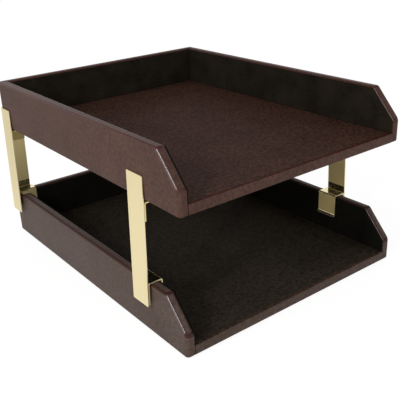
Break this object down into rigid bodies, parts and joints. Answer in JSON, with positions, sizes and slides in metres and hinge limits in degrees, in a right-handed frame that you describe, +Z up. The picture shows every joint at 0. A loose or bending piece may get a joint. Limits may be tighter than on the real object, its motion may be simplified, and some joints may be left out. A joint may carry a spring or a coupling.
{
  "type": "desk letter tray",
  "caption": "Two-tier desk letter tray of leather-wrapped boards: front-loading trays with sloped side walls, stacked on polished gold metal clip-on posts.",
  "frame": {"origin": "middle of the lower felt pad's underside, on the surface that the tray stands on", "axes": "+Z up, +Y from the open front to the rear wall, +X to the right seen from the front"},
  "size_m": [0.2642, 0.3281, 0.177],
  "materials": {
    "leather": "smooth dark brown leather, semi-gloss, wrapped and glued",
    "lining": "matt near-black brown lining over thin board",
    "fibreboard": "raw fibreboard, hidden",
    "felt": "dark brown felt",
    "brass": "polished gold-coloured metal, lacquered",
    "brad_steel": "bright steel wire, hidden"
  },
  "bodies": {
    "lower_tray": {"lower_felt_base": "felt", "lower_floor_board": "fibreboard", "lower_left_board": "fibreboard", "lower_right_board": "fibreboard", "lower_rear_board": "fibreboard", "lower_floor_cover": "leather", "lower_left_cover": "leather", "lower_right_cover": "leather", "lower_rear_cover": "leather", "lower_left_lining": "lining", "lower_right_lining": "lining", "lower_rear_lining": "lining", "lower_left_front_brad": "brad_steel", "lower_left_rear_brad": "brad_steel", "lower_left_corner_brad": "brad_steel", "lower_rear_left_brad": "brad_steel", "lower_right_front_brad": "brad_steel", "lower_right_rear_brad": "brad_steel", "lower_right_corner_brad": "brad_steel", "lower_rear_right_brad": "brad_steel"},
    "upper_tray": {"upper_felt_base": "felt", "upper_floor_board": "fibreboard", "upper_left_board": "fibreboard", "upper_right_board": "fibreboard", "upper_rear_board": "fibreboard", "upper_floor_cover": "leather", "upper_left_cover": "leather", "upper_right_cover": "leather", "upper_rear_cover": "leather", "upper_left_lining": "lining", "upper_right_lining": "lining", "upper_rear_lining": "lining", "upper_left_front_brad": "brad_steel", "upper_left_rear_brad": "brad_steel", "upper_left_corner_brad": "brad_steel", "upper_rear_left_brad": "brad_steel", "upper_right_front_brad": "brad_steel", "upper_right_rear_brad": "brad_steel", "upper_right_corner_brad": "brad_steel", "upper_rear_right_brad": "brad_steel"},
    "front_left_post": {"front_left_strap": "brass", "front_left_shelf": "brass", "front_left_clip": "brass"},
    "front_right_post": {"front_right_strap": "brass", "front_right_shelf": "brass", "front_right_clip": "brass"},
    "rear_left_post": {"rear_left_angle": "brass", "rear_left_shelf": "brass", "rear_left_clip": "brass"},
    "rear_right_post": {"rear_right_angle": "brass", "rear_right_shelf": "brass", "rear_right_clip": "brass"}
  },
  "joints": [
    {"name": "front_left_post_lift", "type": "slide", "parent": "lower_tray", "child": "front_left_post", "axis": [0, 0, 1], "range_m": [0, 0.035]},
    {"name": "front_right_post_lift", "type": "slide", "parent": "lower_tray", "child": "front_right_post", "axis": [0, 0, 1], "range_m": [0, 0.035]},
    {"name": "rear_left_post_lift", "type": "slide", "parent": "lower_tray", "child": "rear_left_post", "axis": [0, 0, 1], "range_m": [0, 0.035]},
    {"name": "rear_right_post_lift", "type": "slide", "parent": "lower_tray", "child": "rear_right_post", "axis": [0, 0, 1], "range_m": [0, 0.035]},
    {"name": "upper_tray_lift", "type": "slide", "parent": "front_left_post", "child": "upper_tray", "axis": [0, 0, 1], "range_m": [0, 0.04]}
  ],
  "couplings": [
    {"joint": "front_right_post_lift", "follows": "front_left_post_lift", "ratio": 1},
    {"joint": "rear_left_post_lift", "follows": "front_left_post_lift", "ratio": 1},
    {"joint": "rear_right_post_lift", "follows": "front_left_post_lift", "ratio": 1}
  ]
}
